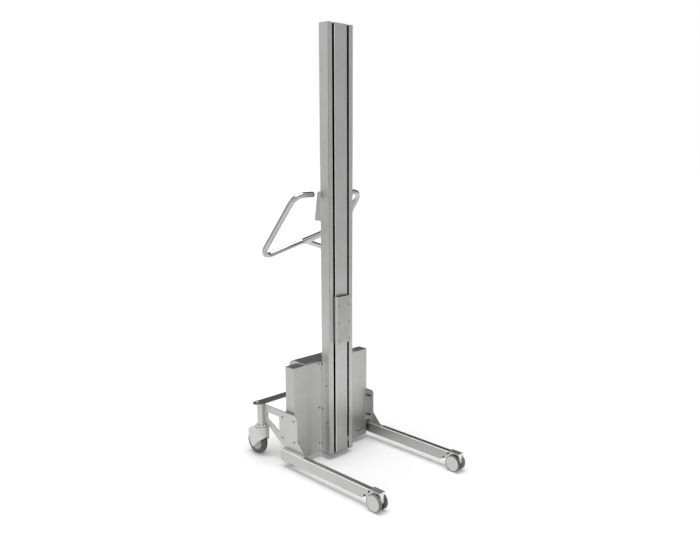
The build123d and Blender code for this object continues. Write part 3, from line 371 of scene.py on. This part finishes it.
# Looks and the CAD nodes that wear them
mast_steel = satin_steel("mast_steel_look", (0.60, 0.60, 0.595), 0.40, GRAIN_UP, mast_inside_shade,
                         low_shaded=True, corner_lit=True, zones=((mast_edge_highlight, EDGE_HIGHLIGHT_TONE, False),))
strip_steel = satin_steel("strip_steel_look", (0.60, 0.60, 0.595), 0.40, GRAIN_UP, strip_inside_shade,
                          low_shaded=True, zones=((strip_edge_highlight, EDGE_HIGHLIGHT_TONE, False),))
carriage_steel = satin_steel("carriage_steel_look", (0.52, 0.52, 0.515), 0.42, GRAIN_UP, carriage_inside_shade,
                             zones=((carriage_side_light, CARRIAGE_SIDE_LIGHT_TONE, True),))
sheet_steel = satin_steel("sheet_steel_look", (0.54, 0.54, 0.535), 0.40, GRAIN_UP, low_shaded=True, corner_lit=True)
frame_steel = satin_steel("frame_steel_look", (0.57, 0.57, 0.56), 0.36, GRAIN_BACK)
leg_steel = satin_steel("leg_steel_look", (0.54, 0.54, 0.53), 0.36, GRAIN_BACK,
                        zones=((leg_bend_highlight, LEG_BEND_HIGHLIGHT_TONE, True), (leg_rear_top_reflection, LEG_REAR_REFLECTION_TONE, True),
                               (leg_inner_shade, LEG_INNER_SHADE_TONE, False)))
castor_steel = satin_steel("castor_steel_look", (0.80, 0.80, 0.78), 0.38, zones=((nose, NOSE_TONE, True),))
tube_steel = satin_steel("tube_steel_look", (0.52, 0.52, 0.515), 0.15, GRAIN_ACROSS)
weld_steel = satin_steel("weld_steel_look", (0.50, 0.49, 0.47), 0.32)
plain_steel = satin_steel("plain_steel_look", (0.42, 0.42, 0.42), 0.45)
screw_steel = satin_steel("screw_steel_look", (0.40, 0.40, 0.39), 0.35)
bright_steel = satin_steel("bright_steel_look", (0.80, 0.80, 0.79), 0.28)
dark_bolt = satin_steel("dark_bolt_look", (0.05, 0.05, 0.05), 0.40)
grey_bolt = satin_steel("grey_bolt_look", (0.13, 0.13, 0.13), 0.35)
collar_cast = plain_plastic("collar_look", (0.74, 0.74, 0.715), 0.40)
hood_paint = plain_plastic("hood_look", (0.77, 0.775, 0.725), 0.42)
black_plastic = plain_plastic("black_plastic_look", (0.02, 0.02, 0.02), 0.5)
grey_plastic = plain_plastic("grey_plastic_look", (0.25, 0.25, 0.25), 0.5)
light_plastic = plain_plastic("light_plastic_look", (0.6, 0.6, 0.57), 0.5)
red_plastic = plain_plastic("red_plastic_look", (0.55, 0.02, 0.02), 0.3)
belt_rubber = plain_plastic("belt_look", (0.012, 0.012, 0.012), 0.8)

dress(mast_steel, "mast_profile", "mast_side_fillers")
dress(strip_steel, "mast_front_strip")
dress(sheet_steel, "mast_top_cap", "front_cover", "rear_housing", "control_box")
dress(carriage_steel, "carriage_plate")
dress(frame_steel, "corner_angles", "side_plate_left", "side_plate_right", "cross_plate",
      "rear_post_left", "rear_post_right")
dress(leg_steel, "leg_left", "leg_right")
dress(castor_steel, "front_castor_body_left", "front_castor_body_right")
dress(tube_steel, "handle_tube", "handle_stub")
dress(plain_steel, "mast_mounts", "idler_bracket", "back_panel", "slider_frame", "lift_gearmotor",
      "drive_controller", "drive_pulley", "idler_pulley")
dress(screw_steel, "front_axles", "rear_axle_left", "rear_axle_right", "roller_pins")
dress(hood_paint, "rear_castor_hood_left", "rear_castor_hood_right")
dress(collar_cast, "castor_collar_left", "castor_collar_right")
dress(black_plastic, "handle_caps", "charging_socket", "battery_packs", "up_button", "down_button")
dress(grey_plastic, "mast_foot")
dress(light_plastic, "guide_roller_lower_left", "guide_roller_upper_left",
      "guide_roller_lower_right", "guide_roller_upper_right")
dress(red_plastic, "emergency_stop")
dress(belt_rubber, "toothed_belt")

# The front wheels' tread is a lit and a shaded copy of one rubber: painted light on the outer wheels, painted
# shade on the inner wheels
OUTER_TREAD_LIT = (0.19, 0.192, 0.185)
INNER_TREAD_SHADED = (0.10, 0.10, 0.097)
REAR_TREAD = (0.10, 0.10, 0.098)
FRONT_FACE = (0.69, 0.695, 0.66)
REAR_FACE = (0.56, 0.565, 0.54)
FRONT_FACE_RADIUS = 34.0 * MM
REAR_FACE_RADIUS = 42.0 * MM
for side, sign in SIDES:
    for row, faced, tread in (("outer", sign, OUTER_TREAD_LIT), ("inner", -sign, INNER_TREAD_SHADED)):
        wheel = "front_wheel_" + row + "_" + side
        dress(wheel_look(wheel, FRONT_FACE_RADIUS, tread, FRONT_FACE, faced), wheel)
    wheel = "rear_wheel_" + side
    dress(wheel_look(wheel, REAR_FACE_RADIUS, REAR_TREAD, REAR_FACE), wheel)


# Mesh helpers for the small pieces
SHARP = math.radians(38)
MERGE = 1e-6
HEAD_SIDES = 24
HEAD_STEPS = 5
HEAD_CORE = 0.6
HEAD_CROWN = 0.55
HEAD_RIM = 0.2
SOCKET_LIP = 1.22
SOCKET_BEVEL = 0.15 * MM
SOCKET_FLOOR = 0.35
SOCKET_TIP = 0.3
NUT_FACE = 0.9
NUT_BEVEL = 0.12


def circle(count):
    return [2 * math.pi * step / count for step in range(count)]


def polar(radius, angle, height):
    return Vector((radius * math.cos(angle), radius * math.sin(angle), height))


def ring_stack(bm, matrix, rings, count=HEAD_SIDES):
    """Skin over rings of (radius, height, is a hexagon) about the z axis of matrix, closed at both ends."""
    loops = []
    for radius, height, hexagon in rings:
        loop = []
        for angle in circle(count):
            flat = math.cos((angle + math.pi / 6) % (math.pi / 3) - math.pi / 6) if hexagon else 1
            loop.append(bm.verts.new(matrix @ polar(radius / flat, angle, height)))
        loops.append(loop)
    for low, high in zip(loops, loops[1:]):
        for i in range(count):
            j = (i + 1) % count
            bm.faces.new((low[i], low[j], high[j], high[i]))
    bm.faces.new(loops[0][::-1])
    bm.faces.new(loops[-1])


def closed_ring(bm, loops):
    """Skin over loops of vertices, the last of which is joined to the first."""
    count = len(loops[0])
    for here, there in zip(loops, loops[1:] + loops[:1]):
        for i in range(count):
            j = (i + 1) % count
            bm.faces.new((here[i], there[i], there[j], here[j]))


def piece(name, bm, material, slot, body, *replaced):
    """Turn bm into an object that rides a body and stands for the replaced CAD nodes. The argument slot is not
    used.
    """
    bmesh.ops.recalc_face_normals(bm, faces=bm.faces)
    for face in bm.faces:
        face.smooth = True
    for edge in bm.edges:
        edge.smooth = edge.calc_face_angle(0) < SHARP
    mesh = bpy.data.meshes.new(name)
    bm.to_mesh(mesh)
    bm.free()
    mesh.materials.append(material)
    made = bpy.data.objects.new(name, mesh)
    bpy.context.collection.objects.link(made)
    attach(made, body)
    if replaced:
        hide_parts(*replaced)


def solids(node):
    """Corners (low, high) of the box round each separate solid of a CAD node, in the same order each run."""
    bm = bmesh.new()
    bm.from_mesh(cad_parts[node].data)
    bmesh.ops.remove_doubles(bm, verts=bm.verts, dist=MERGE)
    left = set(bm.verts)
    found = []
    while left:
        open_ends = [left.pop()]
        group = []
        while open_ends:
            vert = open_ends.pop()
            group.append(vert.co.copy())
            for edge in vert.link_edges:
                other = edge.other_vert(vert)
                if other in left:
                    left.discard(other)
                    open_ends.append(other)
        found.append(([min(c[i] for c in group) for i in range(3)],
                      [max(c[i] for c in group) for i in range(3)]))
    bm.free()
    return sorted(found)


def outward(low, high):
    """Sign of the side that a box lies on, and the box's outer and inner X."""
    return (1, high[0], low[0]) if low[0] + high[0] > 0 else (-1, low[0], high[0])


def along(axis, origin):
    """Matrix whose z axis points along axis from origin."""
    return Matrix.Translation(origin) @ Vector(axis).to_track_quat("Z", "Y").to_matrix().to_4x4()


def button_head(radius, height, socket, foot=0.0):
    """Rings of a button head with a hexagon socket, standing on the face at height 0."""
    crown = HEAD_CROWN * radius
    rings = [(HEAD_CORE * radius, -foot, False), (radius, -foot, False), (radius, HEAD_RIM * height, False)]
    for step in range(1, HEAD_STEPS + 1):
        turn = math.pi / 2 * step / HEAD_STEPS
        rise = HEAD_RIM + (1 - HEAD_RIM) * math.sin(turn)
        rings.append((crown + (radius - crown) * math.cos(turn), height * rise, False))
    rings += [(SOCKET_LIP * socket, height, False), (socket, height - SOCKET_BEVEL, True),
              (socket, SOCKET_FLOOR * height, True), (SOCKET_TIP * socket, SOCKET_TIP * height, True)]
    return rings


def nut(flat, height):
    """Rings of a hexagon nut with its corners turned off, without the bolt's end."""
    return [(NUT_FACE * flat, 0, False), (flat, NUT_BEVEL * height, True),
            (flat, (1 - NUT_BEVEL) * height, True), (NUT_FACE * flat, height, False)]


# Bolts through the side plates, with their nuts inside, and the dome bolts on the cross plate
DOME_SOCKET = 2.4 * MM
PLATE_BOLT_SHARE = 0.94
PLATE_BOLT_SOCKET = 2.0 * MM
NUT_HEIGHT = 5.0 * MM
SHANK_RADIUS = 3.0 * MM
SHANK_START = 0.3 * MM
SHANK_SIDES = 16


def build_frame_bolts():
    bolts = bmesh.new()
    domes = bmesh.new()
    nuts = bmesh.new()
    for low, high in solids("frame_bolts"):
        x, y, z = middle(low, high)
        if high[2] > CROSS_PLATE_TOP:
            ring_stack(domes, along((0, 0, 1), (x, y, CROSS_PLATE_TOP)),
                       button_head((high[0] - low[0]) / 2, high[2] - CROSS_PLATE_TOP, DOME_SOCKET))
            continue
        sign, outer, inner = outward(low, high)
        face = outward(*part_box("side_plate_right" if sign > 0 else "side_plate_left"))[1]
        nut_radius = (high[2] - low[2]) / 2
        nut_place = along((sign, 0, 0), (inner, y, z))
        ring_stack(bolts, along((sign, 0, 0), (face, y, z)),
                   button_head(PLATE_BOLT_SHARE * nut_radius, abs(outer - face), PLATE_BOLT_SOCKET))
        ring_stack(nuts, nut_place, nut(nut_radius * math.cos(math.pi / 6), NUT_HEIGHT))
        ring_stack(bolts, nut_place,
                   [(SHANK_RADIUS, SHANK_START, False), (SHANK_RADIUS, abs(face - inner), False)], SHANK_SIDES)
    piece("side_plate_bolts", bolts, screw_steel, "screw_steel", "trolley_frame", "frame_bolts")
    piece("side_plate_nuts", nuts, dark_bolt, "screw_steel", "trolley_frame")
    piece("cross_plate_domes", domes, bright_steel, "screw_steel", "trolley_frame")


# Dark bolts through the leg ends, with a head at each end
LEG_HEAD = 3.2 * MM
LEG_HEAD_SOCKET = 1.7 * MM
LEG_HEAD_FOOT = 0.5 * MM


def build_leg_bolts():
    heads = bmesh.new()
    for low, high in solids("castor_body_bolts"):
        _, y, z = middle(low, high)
        rings = button_head((high[1] - low[1]) / 2, LEG_HEAD, LEG_HEAD_SOCKET, LEG_HEAD_FOOT)
        for end, sign in ((high[0], 1), (low[0], -1)):
            ring_stack(heads, along((sign, 0, 0), (end - sign * LEG_HEAD, y, z)), rings)
    piece("leg_end_bolts", heads, dark_bolt, "screw_steel", "trolley_frame", "castor_body_bolts")


# Small screws in the mast sides and on the cover's front, and darker ones on the corner angles
SCREW_HEAD = 1.8 * MM
SCREW_SOCKET = 1.4 * MM
SCREW_FOOT = 0.3 * MM
MAST_SIDE_REACH = 4 * MM
ANGLES_FROM = 0.2


def build_screws():
    on_sheets = bmesh.new()
    on_angles = bmesh.new()
    for low, high in solids("housing_screws"):
        x, y, z = middle(low, high)
        if abs(abs(x) - MAST_HALF) < MAST_SIDE_REACH:
            sign, end, _ = outward(low, high)
            matrix = along((sign, 0, 0), (end - sign * SCREW_HEAD, y, z))
        else:
            matrix = along((0, -1, 0), (x, low[1] + SCREW_HEAD, z))
        ring_stack(on_angles if abs(x) > ANGLES_FROM else on_sheets, matrix,
                   button_head((high[2] - low[2]) / 2, SCREW_HEAD, SCREW_SOCKET, SCREW_FOOT))
    piece("small_screws", on_sheets, grey_bolt, "screw_steel", "trolley_frame", "housing_screws")
    piece("angle_screws", on_angles, dark_bolt, "screw_steel", "trolley_frame")


# Weld beads along the side plates on the legs, round the rear posts and round the handle's stub
WELD_RADIUS = 1.7 * MM
WELD_LEAST = 0.78
WELD_SWELL = 0.22
WELD_STEP = 0.8 * MM
WELD_PITCH = 3.2 * MM
WELD_SIDES = 10
WELD_START = 1 * MM
WELD_END = 144 * MM
WELD_LIFT = 0.2 * MM
RING_STEPS = 96
RING_SCALLOP = math.pi / 4
RING_SIDES = 8
RING_SINK = 0.6 * MM
STUB_FALL = math.radians(20)


def scallop(turn):
    """Radius of a weld bead that swells once in each half turn."""
    return WELD_RADIUS * (WELD_LEAST + WELD_SWELL * abs(math.cos(turn)))


def weld_bead(bm, start, end):
    """Scalloped weld bead on a straight line."""
    length = (end - start).length
    steps = int(length / WELD_STEP)
    rings = [(scallop(math.pi * i * WELD_STEP / WELD_PITCH), length * i / steps, False)
             for i in range(steps + 1)]
    ring_stack(bm, along(end - start, start), rings, WELD_SIDES)


def weld_ring(bm, matrix, half_x, half_y):
    """Scalloped weld bead on an ellipse about the z axis of matrix."""
    loops = []
    for step, angle in enumerate(circle(RING_STEPS)):
        thick = scallop(step * RING_SCALLOP)
        centre = Vector((half_x * math.cos(angle), half_y * math.sin(angle), 0))
        outside = centre.normalized()
        loops.append([bm.verts.new(matrix @ (centre + outside * thick * math.cos(turn)
                                             + Vector((0, 0, thick * math.sin(turn)))))
                      for turn in circle(RING_SIDES)])
    closed_ring(bm, loops)


def build_welds():
    bm = bmesh.new()
    for side, _ in SIDES:
        low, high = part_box("side_plate_" + side)
        sign, outer, _ = outward(low, high)
        start, end = (Vector((outer + sign * WELD_LIFT, low[1] + reach, LEG_TOP + WELD_LIFT))
                      for reach in (WELD_START, WELD_END))
        weld_bead(bm, start, end)
        low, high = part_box("rear_post_" + side)
        x, y, _ = middle(low, high)
        half = (high[0] - low[0]) / 2
        weld_ring(bm, along((0, 0, 1), (x, y, high[2] - RING_SINK)), half, half)
    low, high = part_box("handle_stub")
    half = high[0]
    rise = half / math.cos(STUB_FALL)
    weld_ring(bm, along((0, 1, 0), (0, low[1] + RING_SINK, high[2] - rise)), half, rise)
    piece("weld_beads", bm, weld_steel, "frame_steel", "trolley_frame")


# Recesses round the castor collars (rings of radius and depth) as black cups, painted shade in the recesses,
# and black rings on the hoods' crowns, painted shade of the gap under each collar
RECESS_COUNT = 8
RECESS_TURN = 25
RECESS_REACH = 21.5 * MM
RECESS_RISE = 12.2 * MM
RECESS_SLOPE = 0.55
RECESS_SIDES = 20
RECESS_RINGS = [(3.4 * MM, -1.6 * MM, False), (3.4 * MM, 0.8 * MM, False), (3.1 * MM, 1.0 * MM, False),
                (2.4 * MM, 0.1 * MM, False)]
GAP_SHADE_SIDES = 64
GAP_SHADE_PROFILE = [(27.9 * MM, -0.2 * MM), (29.0 * MM, -0.2 * MM), (28.5 * MM, 1.9 * MM), (27.9 * MM, 1.9 * MM)]


def build_collars():
    for side, _ in SIDES:
        x, y, _ = middle(*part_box("castor_collar_" + side))
        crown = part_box("rear_castor_hood_" + side)[1][2]
        recesses = bmesh.new()
        for step in range(RECESS_COUNT):
            angle = math.radians(RECESS_TURN + 360 // RECESS_COUNT * step)
            outside = Vector((math.cos(angle), math.sin(angle), RECESS_SLOPE)).normalized()
            spot = Vector((x + RECESS_REACH * math.cos(angle), y + RECESS_REACH * math.sin(angle),
                           crown + RECESS_RISE))
            ring_stack(recesses, along(outside, spot), RECESS_RINGS, RECESS_SIDES)
        # The black cups are painted shade in the collar's recesses
        piece("collar_recesses_" + side, recesses, black_plastic, "cap", "trolley_frame")
        # Black ring at the collar's foot: painted shade of the gap under the collar
        gap_shade = bmesh.new()
        matrix = along((0, 0, 1), (x, y, crown))
        closed_ring(gap_shade, [[gap_shade.verts.new(matrix @ polar(radius, angle, height))
                            for radius, height in GAP_SHADE_PROFILE] for angle in circle(GAP_SHADE_SIDES)])
        piece("collar_gap_shade_" + side, gap_shade, black_plastic, "casing", "rear_castor_" + side)


build_frame_bolts()
build_leg_bolts()
build_screws()
build_welds()
build_collars()


# Studio. VIEW_X and VIEW_Y are the camera's level line of sight. The floor's near and far are distances, and
# the places of wall, ceiling, far side and backdrop are parts of a direction of length 1.
VIEW_X = 0.7054
VIEW_Y = 0.7088
WHITE = (1.0, 1.0, 1.0)
FLOOR_SIZE = 80
FLOOR_DROP = 0.0005
FLOOR_TONE = 0.92
FLOOR_GLOW = 0.13
FLOOR_FAR_GLOW = 1.0
FLOOR_NEAR = 0.3
FLOOR_FAR = 4.5
WALL_TOP = 0.35
CEILING_START = 0.80
CEILING = 0.06
RIGHT_START = 0.6
LEFT_END = -0.9
WALL_RIGHT = 0.58
WALL_LEFT = 0.88
FAR_SIDE_START = 0.25
FAR_SIDE_END = 0.65
FAR_SIDE = 0.05
BACKDROP_START = 0.72
BACKDROP_END = 0.84
BACKDROP_TOP = 0.02
BACKDROP_FADE = 0.06
LAMP_PLACE = (-0.3, 0.0, 5.0)
LAMP_SIZE = 4.2
LAMP_POWER = 235


def grey(tone):
    return (tone, tone, tone)


def seen_rays(tree):
    """Two sockets: 1 for camera rays, and 1 for glossy and transmission rays."""
    path = tree.nodes.new("ShaderNodeLightPath")
    mirror = tree.maths("MAXIMUM", path.outputs["Is Glossy Ray"], path.outputs["Is Transmission Ray"])
    return path.outputs["Is Camera Ray"], mirror


def ahead_of_camera(tree, x, y):
    """How far a place or direction lies along the camera's level line of sight."""
    return tree.maths("ADD", tree.maths("MULTIPLY", x, VIEW_X), tree.maths("MULTIPLY", y, VIEW_Y))


def place_in_scene(data, place, direction):
    """Object of the same name as its data, at a place and looking in a direction."""
    made = bpy.data.objects.new(data.name, data)
    bpy.context.collection.objects.link(made)
    made.location = place
    made.rotation_euler = direction.to_track_quat("-Z", "Y").to_euler()
    return made


# Floor: white for the camera and in reflections, and it keeps the shadow of the trolley
def build_floor():
    bpy.ops.mesh.primitive_plane_add(size=FLOOR_SIZE, location=(0, 0, -FLOOR_DROP))
    floor = bpy.context.object
    floor.name = "studio_floor"
    material, tree, shader = new_look("floor_look")
    shader.inputs["Roughness"].default_value = 1
    shader.inputs["Specular IOR Level"].default_value = 0
    shader.inputs["Base Color"].default_value = (*grey(FLOOR_TONE), 1)
    shader.inputs["Emission Color"].default_value = (*WHITE, 1)
    place = tree.coords()
    x, y, _ = tree.split(place)
    camera_ray, mirror_ray = seen_rays(tree)
    reach = tree.maths("MAXIMUM", ahead_of_camera(tree, x, y),
                       tree.maths("MULTIPLY", camera_ray, tree.length(place)))
    glow = tree.remap(reach, FLOOR_NEAR, FLOOR_FAR, FLOOR_GLOW, FLOOR_FAR_GLOW)
    seen = tree.maths("MAXIMUM", camera_ray, mirror_ray)
    tree.feed(shader.inputs["Emission Strength"], tree.maths("MULTIPLY", seen, glow))
    floor.data.materials.append(material)


# World: bright walls, brightest on the left, a dark ceiling and a dark far side. For the camera it is plain
# white, and reflections find that white low down behind the trolley.
def build_world():
    world = bpy.data.worlds.new("studio")
    bpy.context.scene.world = world
    world.use_nodes = True
    tree = Tree(world.node_tree)
    background = tree.nodes["Background"]
    coords = tree.nodes.new("ShaderNodeTexCoord")
    x, y, z = tree.split(coords.outputs["Generated"])
    ahead = ahead_of_camera(tree, x, y)
    wall = tree.mix(tree.remap(x, RIGHT_START, LEFT_END), grey(WALL_RIGHT), grey(WALL_LEFT))
    room = tree.mix(tree.remap(z, WALL_TOP, CEILING_START), wall, grey(CEILING))
    room = tree.mix(tree.remap(ahead, FAR_SIDE_START, FAR_SIDE_END), room, grey(FAR_SIDE))
    behind = tree.maths("MULTIPLY", tree.remap(ahead, BACKDROP_START, BACKDROP_END),
                        tree.remap(z, BACKDROP_TOP, BACKDROP_TOP + BACKDROP_FADE, 1, 0))
    camera_ray, mirror_ray = seen_rays(tree)
    white = tree.maths("MAXIMUM", camera_ray, tree.maths("MULTIPLY", mirror_ray, behind))
    tree.feed(background.inputs["Color"], tree.mix(white, room, WHITE))
    background.inputs["Strength"].default_value = 1


# One soft lamp overhead that is aimed at the origin
def build_lamp():
    lamp = bpy.data.lights.new("overhead", "AREA")
    lamp.shape = "RECTANGLE"
    lamp.size = LAMP_SIZE
    lamp.size_y = LAMP_SIZE
    lamp.energy = LAMP_POWER
    place_in_scene(lamp, LAMP_PLACE, -Vector(LAMP_PLACE))


build_floor()
build_world()
build_lamp()

# Camera at the photograph's viewpoint
CAMERA_PLACE = (-2.1484, -2.1483, 1.4069)
CAMERA_AZIMUTH = math.radians(-44.86)
CAMERA_PITCH = math.radians(12.29)
CAMERA_LENS = 36.395
CAMERA_SENSOR = 36
CAMERA_SHIFT = 0.05
camera_data = bpy.data.cameras.new("photo_camera")
camera_data.sensor_width = CAMERA_SENSOR
camera_data.lens = CAMERA_LENS
camera_data.shift_y = CAMERA_SHIFT
backwards = Vector((math.sin(CAMERA_AZIMUTH) * math.cos(CAMERA_PITCH),
                    -math.cos(CAMERA_AZIMUTH) * math.cos(CAMERA_PITCH), math.sin(CAMERA_PITCH)))
camera = place_in_scene(camera_data, CAMERA_PLACE, -backwards)
bpy.context.scene.camera = camera
bpy.context.scene.view_settings.view_transform = "Standard"
